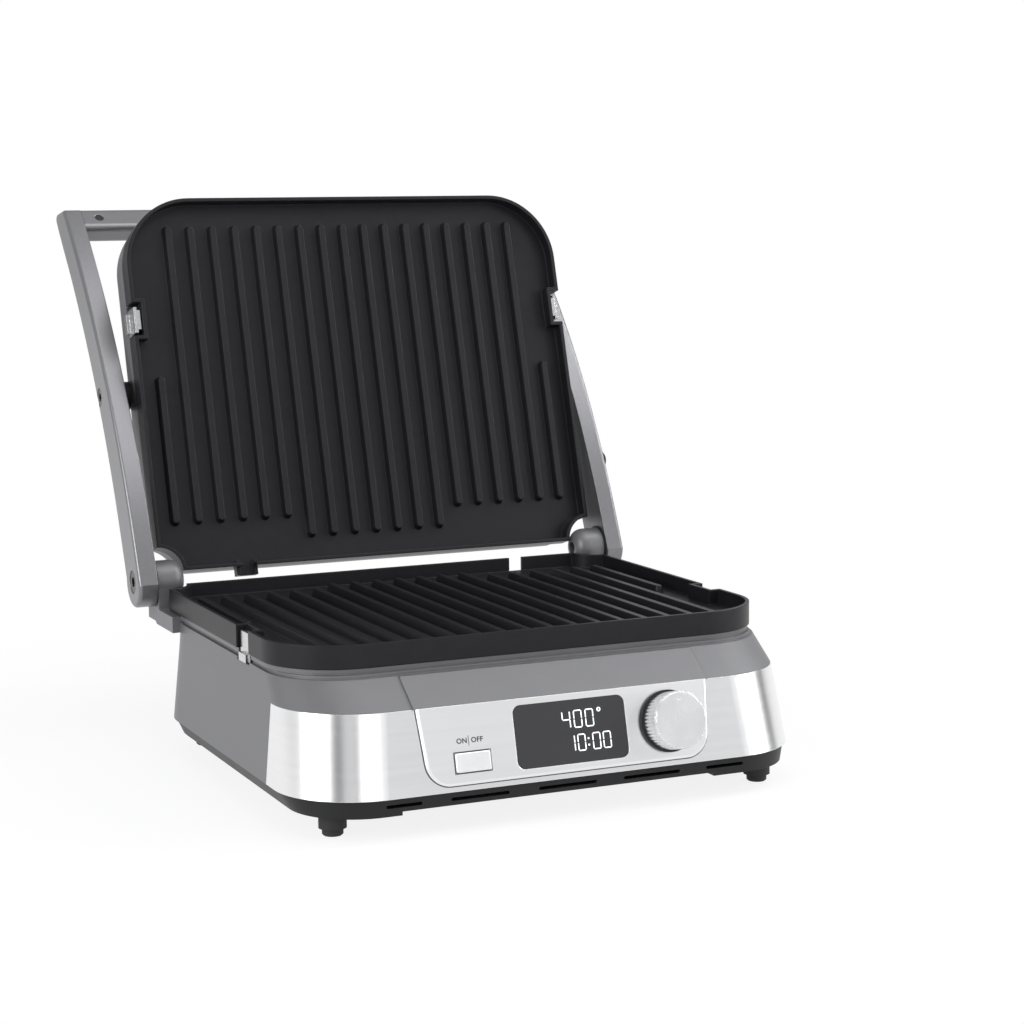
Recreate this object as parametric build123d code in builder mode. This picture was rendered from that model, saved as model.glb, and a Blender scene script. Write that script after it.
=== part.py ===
"""Countertop electric contact grill, lid open.

Millimetres, Z up, front faces -Y, ground at z = 0, x = 0 is the symmetry plane.
"""
import os
from math import atan, atan2, cos, degrees, radians, sin

from build123d import *

os.makedirs("parts", exist_ok=True)

# ---------------------------------------------------------------- fits
SEAT = 0.1          # face left between two pieces that rest on each other
GAP = 0.35          # free gap between pieces that move past each other
RUN = 0.05          # radial running clearance of pins and shafts
SCREW_CLEAR = 0.2   # radial clearance round a fixing screw
PROUD_TRIM = 0.3    # screw heads end this much under their face
OVERCUT = 10.0      # cuts run this far past the face they open

# ---------------------------------------------------------------- grill plate
PLATE_W = 290.0     # outside width
PLATE_D = 233.0     # outside depth, hinge edge to front edge
RIM_H = 12.7        # rim height, also the whole thickness
RIM_T = 2.2         # width of the flat rim land
TROUGH = 8.6        # depth of the cooking floor under the rim
R_FRONT = 43.0      # front corner radius
BITE = 15.0         # rear corner bite round the hinge knuckle
FULL_HALF = 8       # full ribs each side of the middle one
MID_HALF = 3        # of these, the long middle ones
RIB_SIDE = 15.04    # side edge to the middle of the short rib
RIB_PITCH = (PLATE_W / 2 - RIB_SIDE) / (FULL_HALF + 1)
RIB_W = 6.4
RIB_H = 4.6
RIB_DRAFT = 16.0
RIB_END = 28.5      # rib ends from the hinge edge
RIB_MID_END = 15.5  # middle ribs run lower
RIB_TOP = 217.0
RIB_SHORT_TOP = 122.0
CLIP_V = 157.0      # clip centre from the hinge edge
CLIP_L = 21.0       # clip cut-out length
CLIP_IN = 6.2       # clip cut-out depth into the plate
CLIP_FOOT = 6.0     # clip foot below the plate
CLIP_LEDGE = 7.5    # tooth begins this far under the rim plane
CLIP_EDGE = 1.6     # leaf back from the plate edge
CLIP_LEAF = 2.0     # leaf thickness
CLIP_TOP = 2.6      # leaf end under the rim plane
CLIP_SIDE = 2.5     # leaf shorter than the cut-out, each end
CLIP_TOOTH = 3.0    # tooth reach past the middle of the leaf
CLIP_TOOTH_T = 4.6
CLIP_TAB = 1.9      # release tab reach outward
SPOUT_X = -88.0     # drain spout in plate coordinates
SPOUT_W = 9.0
SPOUT_OUT = 5.0

# ---------------------------------------------------------------- heater and sensors
HEAT_R = 3.3
HEAT_X = PLATE_W / 2 - 47.0
HEAT_FRONT, HEAT_BACK = 78.0, -62.0
HEAT_END = 24.0     # both ends from the middle
HEAT_BEND = 8.0
HEAT_DROP = 23.0    # ends turned down through the pan
CLAMP_W, CLAMP_R = 12.0, 2.0
CLAMPS = ((-HEAT_X, 10.0), (HEAT_X, 10.0), (-40.0, HEAT_FRONT), (40.0, HEAT_FRONT))
CLAMP_SCREW_R, CLAMP_SCREW_OUT = 1.6, 4.0
EAR_L, EAR_W, EAR_R, EAR_T = 30.0, 12.0, 3.0, 1.2
STEM_R, CAN_R, CAN_H = 5.0, 8.2, 4.0
BLADE_L, BLADE_W, BLADE_H = 20.0, 3.0, 3.0
FUSE_X, FUSE_V, FUSE_R, FUSE_L = 30.0, 30.0, 2.6, 26.0
FUSE_LIFT = 3.2
STRAP_W, STRAP_L, STRAP_H = 6.0, 8.0, 3.0

# ---------------------------------------------------------------- places
RIM_Z = 96.0        # lower plate rim plane
REAR_Y = 107.8      # lower plate hinge edge
HINGE_Y = 112.5
HINGE_Z = 98.5
LEAN = 16.0         # lid leans back from upright
LID_Y = 112.0       # upper plate hinge edge, rim plane
LID_Z = 103.4

low = Plane(origin=(0, REAR_Y, RIM_Z), x_dir=(-1, 0, 0), z_dir=(0, 0, 1))
lid = Plane(
    origin=(0, LID_Y, LID_Z),
    x_dir=(1, 0, 0),
    z_dir=(0, -cos(radians(LEAN)), sin(radians(LEAN))),
)

# ---------------------------------------------------------------- base shell
WALL = 2.6
BOT_Z, BAND_Z, SHOULDER_Z = 21.3, 64.4, 78.5
BOT_X, BAND_X, SHOULDER_X = PLATE_W / 2 + 5.0, PLATE_W / 2 + 1.3, PLATE_W / 2 - 0.4
BOT_F, BAND_F, SHOULDER_F = -159.6, -149.0, -129.0
BOT_B, BAND_B, SHOULDER_B = 116.0, 112.5, 109.0
BASE_RF, BASE_RB = 46.0, 50.0
SHOULDER_RF, SHOULDER_RB = 42.0, 44.0
NECK = 2.0          # shadow gap under the top lip
LIP_Z = 80.3
LIP_IN = 1.2        # lip edge inside the plate edge
DECK_T = 4.0        # thickness of the seat ring under the plate
DECK_CUT = 16.0     # pan opening goes this deep
PAN_IN = 12.0       # pan opening from the plate edge
PAN_FLANGE = 4.0
SHEET = 1.2
PAN_H = 20.0
BAND_T = 1.0
BAND_SEAM_Y = -100.0
BAND_REACH = 200.0  # cutting block in front of the seam
SLOPE = degrees(atan((BAND_F - BOT_F) / (BAND_Z - BOT_Z)))

# ---------------------------------------------------------------- control panel
PANEL_TOP_X, PANEL_BOT_X = 85.5, 82.0
PANEL_BOT_Z = 23.8
PANEL_R = 14.0
PROUD = 1.8
PANEL_T = 3.0
PANEL_BEVEL = 1.2
PANEL_SEAM = 0.5    # shadow gap round the panel
PANEL_LEDGE = 4.0
HOOD_X = 86.0
DISPLAY_X, DISPLAY_Z = 1.2, 44.7
DISPLAY_W, DISPLAY_H, DISPLAY_R = 65.3, 33.6, 4.5
WINDOW_T = 1.4
WINDOW_SINK = 0.15
WINDOW_EDGE = 2.5   # ledge under the window
BUTTON_X, BUTTON_Z = -56.5, 35.4
BUTTON_W, BUTTON_H, BUTTON_R = 20.0, 10.4, 0.8
BUTTON_OUT = 1.2
BUTTON_LIFT = 0.2
BUTTON_EDGE = 0.5
BUTTON_TRAVEL = 1.0
KNOB_X, KNOB_Z = 58.7, 44.5
KNOB_R, KNOB_OUT = 15.6, 16.0
KNOB_RING_R, KNOB_RING_T = 16.8, 1.6
KNOB_LIFT = 0.5
KNOB_WALL = 2.4
KNOB_ROOF = 6.0     # solid cap over the hollow
HUB_R = 5.5
FLUTES, FLUTE_R = 48, 0.45
RIM_STEP, RIM_STEP_H = 0.9, 1.0
MARK_R, MARK_IN, MARK_DEEP = 0.9, 4.0, 0.6
SHAFT_R = 3.0
SHAFT_END = 4.0     # shaft stops under the knob face
SHAFT_HOLE = 4.0

# ---------------------------------------------------------------- underside
SKIRT_BOT = 12.0
SKIRT_IN = 1.4
SKIRT_TAPER = 4.6
SKIRT_LEAN = 0.4    # front taper of the skirt
SKIRT_RF, SKIRT_RB = BASE_RF - 1.0, BASE_RB - 2.0
SKIRT_WALL = 5.6
SKIRT_SHRINK = 7.0  # corner radii of the inside
SKIRT_SHELF = 8.0   # recess under the floor
ARCH_X, ARCH_W, ARCH_H = -5.0, 182.0, 2.0
FLOOR_Z, FLOOR_T = 14.2, 2.4
SLOT_NX, SLOT_NY = 9, 2
SLOT_DX, SLOT_DY, SLOT_L, SLOT_W = 14.0, 70.0, 44.0, 3.2
RAIL_IN, RAIL_W, RAIL_L = 12.0, 5.0, 36.0
FOOT_R, FOOT_TIP_R, FOOT_TIP_H = 7.4, 5.6, 4.0
FOOT_X, FOOT_FY, FOOT_BY = BOT_X - 24.0, BOT_F + 24.6, BOT_B - 26.0
FOOT_EDGE = 0.8
VENTS = ((-105, -85), (-69, -36), (-19, 15), (31, 65), (81, 104))
VENT_Z, VENT_H = 17.2, 1.8
# four corner feet and a pad under the middle of the floor
FEET = [(side * FOOT_X, y) for side in (-1, 1) for y in (FOOT_FY, FOOT_BY)] + [(0, 0)]

# ---------------------------------------------------------------- hinge and arms
ARM_IN = PLATE_W / 2 + 5.2
ARM_T = 11.6
ARM_OUT = ARM_IN + ARM_T
ARM_DEPTH = 31.0
ARM_SWEEP = (121.3, 52.2, 12.35, 2.13)   # front edge: y as a cubic of the height
ARM_SWEEP_Z, ARM_SWEEP_SCALE = 150.0, 100.0
ARM_TOP_Z = 320.8
ARM_TOP_DEPTH, ARM_TOP_FALL = 24.0, 3.6
ARM_TOP_R, ARM_EDGE_R = 4.0, 2.0
BOSS_R = 15.5
WASHER_SEAT = 0.8   # room for the washer between knuckle and arm
WASHER_RIM = 1.2
KNUCKLE_R = 12.0
KNUCKLE_OUT = ARM_IN - WASHER_SEAT
KNUCKLE_IN = KNUCKLE_OUT - 17.9
KNUCKLE_DOME = 8.0
BRACKET_Y, BRACKET_Z, BRACKET_H = 72.0, 73.0, 9.5
BRACKET_TOE = 6.0   # bracket foot in front of the hinge axis
WEB_TRIM = 0.5
PIN_R = 4.0
PIN_START = 3.0     # pin begins this far inside the knuckle
SCREW_HEAD_R = 6.7
PIVOT_HEAD_R = 5.4
HEAD_T = 2.4
HEX_DEEP = 1.6
PIVOT_V = 116.0
PIVOT_DROP = 35.0
PIVOT_R = 3.0
LUG_R = 9.0
LUG_IN = PLATE_W / 2 - 1.2
PIVOT_Y = LID_Y + PIVOT_V * sin(radians(LEAN)) + PIVOT_DROP * cos(radians(LEAN))
PIVOT_Z = LID_Z + PIVOT_V * cos(radians(LEAN)) - PIVOT_DROP * sin(radians(LEAN))
BAR_LONG, BAR_THICK, BAR_EDGE = 19.0, 14.0, 4.0
BAR_Z = 316.0       # middle of the grip's front face
BAR_INSET = 0.5     # grip behind the arm's front edge
BAR_HEAD_R, BAR_HEAD_T = 2.6, 1.4
BAR_SCREW_R, BAR_SCREW_IN = 1.5, 11.0
TENON_L, TENON_W, TENON_T = 16.0, 10.0, 6.0
LEVER_Y, LEVER_Z = 136.0, 152.0
LEVER_R, LEVER_TIP_R, LEVER_T, LEVER_EDGE = 5.2, 2.2, 4.4, 0.9
LEVER_DY, LEVER_DZ = 12.0, 10.0
LEVER_PIN_R, LEVER_PIN = 2.6, 6.0

# ---------------------------------------------------------------- lid
LID_T = 31.0
LID_IN = 1.4
LID_EDGE = 13.0
LID_STEP = 10.0
LID_LEDGE = 1.2
TOP_PANEL_IN = 24.0
TOP_PANEL_SINK, TOP_PANEL_T = 1.0, 1.4

# ---------------------------------------------------------------- drip tray
TRAY_HALF = BOT_X - 46.0
TRAY_Z0, TRAY_Z1 = 27.0, 47.0
TRAY_Y0 = 62.0
TRAY_WALL = 1.8
TRAY_Y1 = 124.0
TRAY_R, TRAY_INNER_R = 6.0, 4.5
TRAY_RIM_DROP = 1.0
TRAY_FACE_T, TRAY_FACE_TRIM = 2.2, 0.5
PULL_W, PULL_H, PULL_OUT, PULL_UP = 60.0, 5.0, 2.4, 5.0

# ---------------------------------------------------------------- inside the base
BOARD_GAP = 7.0
BOARD_W, BOARD_H, BOARD_T = 150.0, 34.0, 1.6
BOARD_DROP = 1.0
POST_IN, POST_R, POST_BORE_R = 4.0, 3.0, 1.4
BOARD_SCREW_R, BOARD_HEAD_R = 1.4, 2.8
CHIPS = ((-34.0, 5.0), (-10.0, -7.0), (14.0, 4.0))
CHIP_W, CHIP_D, CHIP_T = 12.0, 9.0, 2.0
COILS = ((38.0, -8.0), (30.0, 9.0))
COIL_W, COIL_D = 7.0, 5.0
GLASS_EDGE, MODULE_T = 3.0, 4.0
MODULE_RIM = 1.0
ENCODER_W, ENCODER_HOLE_R = 12.0, 3.6
SWITCH_W, SWITCH_D, SWITCH_PLUNGER_R = 9.0, 7.0, 1.8
SWITCH_DROP, PLUNGER_DROP = 2.4, 1.2
INLET_X, INLET_Z, INLET_Y = -70.0, 62.0, 111.8
INLET_RIM, INLET_RIM_T = 2.0, 2.0
INLET_R, INLET_HOLE, INLET_L = 6.0, 3.6, 8.0
COVER_SCREWS = ((-100, -100), (100, -100), (-60, 40), (60, 40))
COVER_HEAD_R, COVER_HEAD_T, COVER_SCREW_R, COVER_SCREW_L = 3.6, 1.8, 2.0, 9.0
CROSS_L, CROSS_W, CROSS_DEEP = 4.6, 0.9, 0.8
SUPPLY_X, SUPPLY_Y, SUPPLY_W, SUPPLY_D = -60.0, -60.0, 70.0, 50.0
SUPPLY_POST, SUPPLY_POST_R = 5.0, 3.0
RELAYS = ((-78.0, -60.0), (-54.0, -60.0))
RELAY_W, RELAY_D, PARTS_H = 16.0, 20.0, 13.0
FILTER_X, FILTER_Y, FILTER_W, FILTER_D = -34.0, -66.0, 10.0, 26.0
BLOCK_X, BLOCK_Y, BLOCK_W, BLOCK_D, BLOCK_H = INLET_X - 10.0, 20.0, 34.0, 16.0, 14.0
BLOCK_WELLS, BLOCK_PITCH, BLOCK_WELL_R, BLOCK_WELL = 3, 10.0, 2.6, 8.0


def save(builder, label):
    """Name the piece and write its file."""
    builder.part.label = label
    export_step(builder.part, f"parts/{label}.step")


def hull_outline(half_x, front, back, r_front, r_back):
    """Rounded rectangle with its own front and rear radii, in the open sketch."""
    Polygon((-half_x, front), (half_x, front), (half_x, back), (-half_x, back), align=None)
    fillet(vertices().group_by(Axis.Y)[0], r_front)
    fillet(vertices().group_by(Axis.Y)[-1], r_back)


def shell_sections(inset):
    """The three outline levels of the base shell, moved inward by inset."""
    return (
        (BOT_Z, BOT_X - inset, BOT_F + inset, BOT_B - inset, BASE_RF - inset, BASE_RB - inset),
        (BAND_Z, BAND_X - inset, BAND_F + inset, BAND_B - inset, BASE_RF - inset, BASE_RB - inset),
        (
            SHOULDER_Z,
            SHOULDER_X - inset,
            SHOULDER_F + inset,
            SHOULDER_B - inset,
            SHOULDER_RF - inset,
            SHOULDER_RB - inset,
        ),
    )


def loft_between(a, b):
    """Ruled body between two outline levels."""
    sections = []
    for z, half_x, front, back, rf, rb in (a, b):
        with BuildSketch(Plane.XY.offset(z)) as level:
            hull_outline(half_x, front, back, rf, rb)
        sections.append(level.sketch)
    loft(sections, ruled=True)


def plate_outline(inset, bite):
    """Plate outline in plate coordinates: hinge edge on v = 0, both rear corners bitten."""
    Rectangle(
        PLATE_W - 2 * inset,
        PLATE_D - 2 * inset,
    )
    fillet(vertices().group_by(Axis.Y)[-1], R_FRONT - inset)
    with Locations((-PLATE_W / 2, -PLATE_D / 2), (PLATE_W / 2, -PLATE_D / 2)):
        Circle(bite + inset, mode=Mode.SUBTRACT)


def centred(plane, depth):
    """Plane at a depth under the rim with its origin in the middle of the plate."""
    return plane.shift_origin(plane.from_local_coords(Vector(0, PLATE_D / 2, 0))).offset(depth)


def clip_pockets(grow, inward=0.0, mode=Mode.ADD):
    """Both side cut-outs for the clips, in the open sketch, grown along and inward."""
    depth = CLIP_IN + inward
    with Locations(
        (-PLATE_W / 2 + depth / 2, CLIP_V - PLATE_D / 2),
        (PLATE_W / 2 - depth / 2, CLIP_V - PLATE_D / 2),
    ):
        Rectangle(depth, CLIP_L + 2 * grow, mode=mode)


def make_plate(plane, lipped, label):
    """Cast plate: raised rim, drafted trough, 19 ribs, drain spout, clip cut-outs."""
    with BuildPart() as plate:
        with BuildSketch(centred(plane, -RIM_H)):
            plate_outline(0, BITE)
        extrude(amount=RIM_H)
        with BuildSketch(centred(plane, 0)):
            plate_outline(RIM_T, BITE)
            clip_pockets(RIM_T, RIM_T, Mode.SUBTRACT)
        extrude(amount=-TROUGH, mode=Mode.SUBTRACT)
        floor = centred(plane, -TROUGH)
        with BuildSketch(floor):
            for i in range(-FULL_HALF, FULL_HALF + 1):
                low_end = RIB_MID_END if abs(i) <= MID_HALF else RIB_END
                with Locations((i * RIB_PITCH, (low_end + RIB_TOP - PLATE_D) / 2)):
                    SlotOverall(RIB_TOP - low_end, RIB_W, rotation=90)
            for side in (-1, 1):
                x = side * (FULL_HALF + 1) * RIB_PITCH
                with Locations((x, (RIB_END + RIB_SHORT_TOP - PLATE_D) / 2)):
                    SlotOverall(RIB_SHORT_TOP - RIB_END, RIB_W, rotation=90)
        extrude(amount=RIB_H, taper=RIB_DRAFT)
        # latch cut-outs
        with BuildSketch(centred(plane, -RIM_H)):
            clip_pockets(0)
        extrude(amount=RIM_H, mode=Mode.SUBTRACT)
        if lipped:
            with BuildSketch(centred(plane, -RIM_H)):
                with Locations((SPOUT_X, -PLATE_D / 2 - SPOUT_OUT / 2 + RIM_T)):
                    Rectangle(SPOUT_W + 2 * RIM_T, SPOUT_OUT + 2 * RIM_T)
            extrude(amount=RIM_H - TROUGH + RIM_T)
        with BuildSketch(centred(plane, 0)):
            with Locations((SPOUT_X, -PLATE_D / 2)):
                Rectangle(SPOUT_W, 4 * SPOUT_OUT)
        extrude(amount=-TROUGH, mode=Mode.SUBTRACT)
    save(plate, label)


def make_pan(plane, label):
    """Reflector pan: pressed sheet dish hung by its flange in the seat ring."""
    with BuildPart() as pan:
        with BuildSketch(centred(plane, -RIM_H - SEAT - SHEET)):
            plate_outline(PAN_IN - PAN_FLANGE + GAP, BITE + PAN_IN)
        extrude(amount=SHEET - SEAT)
        with BuildSketch(centred(plane, -RIM_H - SEAT - SHEET)):
            plate_outline(PAN_IN + GAP, BITE + PAN_IN)
        extrude(amount=-PAN_H)
        with BuildSketch(centred(plane, -RIM_H)):
            plate_outline(PAN_IN + GAP + SHEET, BITE + PAN_IN)
        extrude(amount=-PAN_H - SEAT, mode=Mode.SUBTRACT)
        with BuildSketch(centred(plane, -RIM_H - PAN_H - 2 * SHEET)):
            with Locations((-HEAT_END, HEAT_BACK), (HEAT_END, HEAT_BACK)):
                Circle(HEAT_R + GAP)
            with Locations(*CLAMPS):
                Circle(CLAMP_SCREW_R + SCREW_CLEAR)
        extrude(amount=4 * SHEET, mode=Mode.SUBTRACT)
    save(pan, label)


def tube_z():
    """Height of the heater centre line under the rim plane."""
    return -RIM_H - SEAT - HEAT_R


def make_heater(plane, label):
    """Tubular heater bent in one loop with both ends turned away from the plate."""
    mid = centred(plane, 0)
    z = tube_z()
    path_points = [
        (-HEAT_END, HEAT_BACK, z - HEAT_DROP),
        (-HEAT_END, HEAT_BACK, z),
        (-HEAT_X, HEAT_BACK, z),
        (-HEAT_X, HEAT_FRONT, z),
        (HEAT_X, HEAT_FRONT, z),
        (HEAT_X, HEAT_BACK, z),
        (HEAT_END, HEAT_BACK, z),
        (HEAT_END, HEAT_BACK, z - HEAT_DROP),
    ]
    world = [mid.from_local_coords(Vector(*p)) for p in path_points]
    with BuildPart() as heater:
        with BuildLine() as path:
            FilletPolyline(*world, radius=HEAT_BEND)
        with BuildSketch(Plane(origin=path.line @ 0, z_dir=path.line % 0)):
            Circle(HEAT_R)
        sweep(path=path.line)
    save(heater, label)


def make_clamps(plane, label):
    """Four saddle blocks that carry the heater above the pan floor, with their screws."""
    z_floor = -RIM_H - SEAT - PAN_H
    with BuildPart() as clamps:
        with BuildSketch(centred(plane, z_floor)):
            with Locations(*CLAMPS):
                RectangleRounded(CLAMP_W, CLAMP_W, CLAMP_R)
        extrude(amount=tube_z() - z_floor)
        across = centred(plane, tube_z())
        for x, y in CLAMPS:
            direction = across.y_dir if abs(x) == HEAT_X else across.x_dir
            origin = across.from_local_coords(Vector(x, y, 0))
            with BuildSketch(Plane(origin=origin, z_dir=direction)):
                Circle(HEAT_R + RUN)
            extrude(amount=CLAMP_W, both=True, mode=Mode.SUBTRACT)
        with BuildSketch(centred(plane, z_floor)):
            with Locations(*CLAMPS):
                Circle(CLAMP_SCREW_R)
        extrude(amount=-SHEET - CLAMP_SCREW_OUT)
    save(clamps, label)


def make_thermostat(plane, label):
    """Disc thermostat standing on the pan floor and touching the plate."""
    z_floor = -RIM_H - SEAT - PAN_H
    with BuildPart() as stat:
        with BuildSketch(centred(plane, z_floor)):
            RectangleRounded(EAR_L, EAR_W, EAR_R)
        extrude(amount=EAR_T)
        with BuildSketch(centred(plane, z_floor)):
            Circle(STEM_R)
        extrude(amount=PAN_H - CAN_H)
        with BuildSketch(centred(plane, z_floor + PAN_H - CAN_H)):
            Circle(CAN_R)
        extrude(amount=CAN_H - SEAT)
        with BuildSketch(centred(plane, z_floor + CAN_H)):
            Rectangle(BLADE_L, BLADE_W)
        extrude(amount=BLADE_H)
    save(stat, label)


def make_fuse(plane, label):
    """Thermal fuse in its sleeve, strapped to the pan floor."""
    z_floor = -RIM_H - SEAT - PAN_H
    with BuildPart() as fuse:
        start = centred(plane, z_floor + FUSE_LIFT)
        end = start.from_local_coords(Vector(FUSE_X, FUSE_V, 0))
        with BuildSketch(Plane(origin=end, z_dir=start.x_dir)):
            Circle(FUSE_R)
        extrude(amount=FUSE_L)
        with BuildSketch(centred(plane, z_floor)):
            with Locations((FUSE_X + FUSE_L / 2, FUSE_V)):
                Rectangle(STRAP_W, STRAP_L)
        extrude(amount=STRAP_H)
    save(fuse, label)


def make_clip(plane, side, label):
    """Spring latch: leaf with a thumb face, a tooth over the plate and a lower tab."""
    outer = PLATE_W / 2 - CLIP_EDGE
    v = CLIP_V - PLATE_D / 2
    leaf_l = CLIP_L - 2 * CLIP_SIDE
    tooth_l = leaf_l - 2 * CLIP_LEAF
    with BuildPart() as clip:
        root = centred(plane, -RIM_H - CLIP_FOOT)
        with BuildSketch(root):
            with Locations((side * (outer - CLIP_LEAF / 2), v)):
                Rectangle(CLIP_LEAF, leaf_l)
        extrude(amount=RIM_H + CLIP_FOOT - CLIP_TOP)
        with BuildSketch(centred(plane, GAP - CLIP_LEDGE)):
            with Locations((side * (outer - CLIP_LEAF / 2 - CLIP_TOOTH / 2), v)):
                Rectangle(CLIP_TOOTH, tooth_l)
        extrude(amount=CLIP_TOOTH_T)
        with BuildSketch(root):
            with Locations((side * (outer - CLIP_LEAF / 2 + (CLIP_TAB + CLIP_LEAF / 2) / 2), v)):
                Rectangle(CLIP_TAB + CLIP_LEAF / 2, tooth_l)
        extrude(amount=CLIP_TOOTH_T)
    save(clip, label)


# ================================================================ plates, pans, heaters
make_plate(low, False, "lower_plate")
make_plate(lid, True, "upper_plate")
make_pan(low, "lower_reflector")
make_pan(lid, "upper_reflector")
make_heater(low, "lower_heater")
make_heater(lid, "upper_heater")
make_clamps(low, "lower_heater_clamps")
make_clamps(lid, "upper_heater_clamps")
make_thermostat(low, "lower_thermostat")
make_thermostat(lid, "upper_thermostat")
make_fuse(low, "lower_thermal_fuse")
make_fuse(lid, "upper_thermal_fuse")
make_clip(low, 1, "lower_clip_left")
make_clip(low, -1, "lower_clip_right")
make_clip(lid, -1, "upper_clip_left")
make_clip(lid, 1, "upper_clip_right")

# ================================================================ base shell
outer_levels = shell_sections(0)
skin_levels = shell_sections(BAND_T)
wall_levels = shell_sections(WALL)

with BuildPart() as band_core:
    loft_between(skin_levels[0], skin_levels[1])

with BuildPart() as band_blank:
    loft_between(outer_levels[0], outer_levels[1])
    add(band_core.part, mode=Mode.SUBTRACT)
    with BuildSketch(Plane.XY):
        with Locations((0, BAND_SEAM_Y - BAND_REACH / 2)):
            Rectangle(4 * BOT_X, BAND_REACH)
    extrude(amount=BAND_Z, mode=Mode.INTERSECT)

panel_mid = Plane(
    origin=(0, (BOT_F + BAND_F) / 2, (BOT_Z + BAND_Z) / 2),
    x_dir=(1, 0, 0),
    z_dir=(0, -cos(radians(SLOPE)), sin(radians(SLOPE))),
)


def panel_v(z):
    """Distance up the slope of the panel for a height above ground."""
    return (z - (BOT_Z + BAND_Z) / 2) / cos(radians(SLOPE))


hinge_axis = Axis((0, HINGE_Y, HINGE_Z), (1, 0, 0))
BOARD_Z = DISPLAY_Z - BOARD_DROP
BOARD_POSTS = [
    (sx * (BOARD_W / 2 - POST_IN), panel_v(BOARD_Z) + sv * (BOARD_H / 2 - POST_IN))
    for sx in (-1, 1)
    for sv in (-1, 1)
]
PANEL_V0, PANEL_V1 = panel_v(PANEL_BOT_Z), panel_v(BAND_Z)


def panel_outline(grow):
    """U-shaped panel face, straight along the shoulder and rounded at the bottom."""
    Polygon(
        (-PANEL_BOT_X - grow, PANEL_V0 - grow),
        (PANEL_BOT_X + grow, PANEL_V0 - grow),
        (PANEL_TOP_X + grow, PANEL_V1),
        (-PANEL_TOP_X - grow, PANEL_V1),
        align=None,
    )
    fillet(vertices().group_by(Axis.Y)[0], PANEL_R + grow)


with BuildPart() as front_band:
    add(band_blank.part)
    with BuildSketch(panel_mid.offset(-PANEL_T)):
        panel_outline(RUN)
    extrude(amount=2 * PANEL_T, mode=Mode.SUBTRACT)
save(front_band, "front_band")

# raised hood over the control panel
with BuildPart() as hood:
    loft_between(
        outer_levels[1][:2] + (BAND_F - PROUD,) + outer_levels[1][3:],
        outer_levels[2][:2] + (SHOULDER_F - PROUD,) + outer_levels[2][3:],
    )
    with BuildSketch(Plane.XY.offset(BAND_Z)):
        with Locations((0, BAND_SEAM_Y - BAND_REACH / 2)):
            Rectangle(2 * HOOD_X, BAND_REACH)
    extrude(amount=SHOULDER_Z - BAND_Z, mode=Mode.INTERSECT)

with BuildPart() as hollow:
    loft_between(wall_levels[0], wall_levels[1])
    loft_between(wall_levels[1], (SHOULDER_Z - WALL,) + wall_levels[2][1:])

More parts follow.
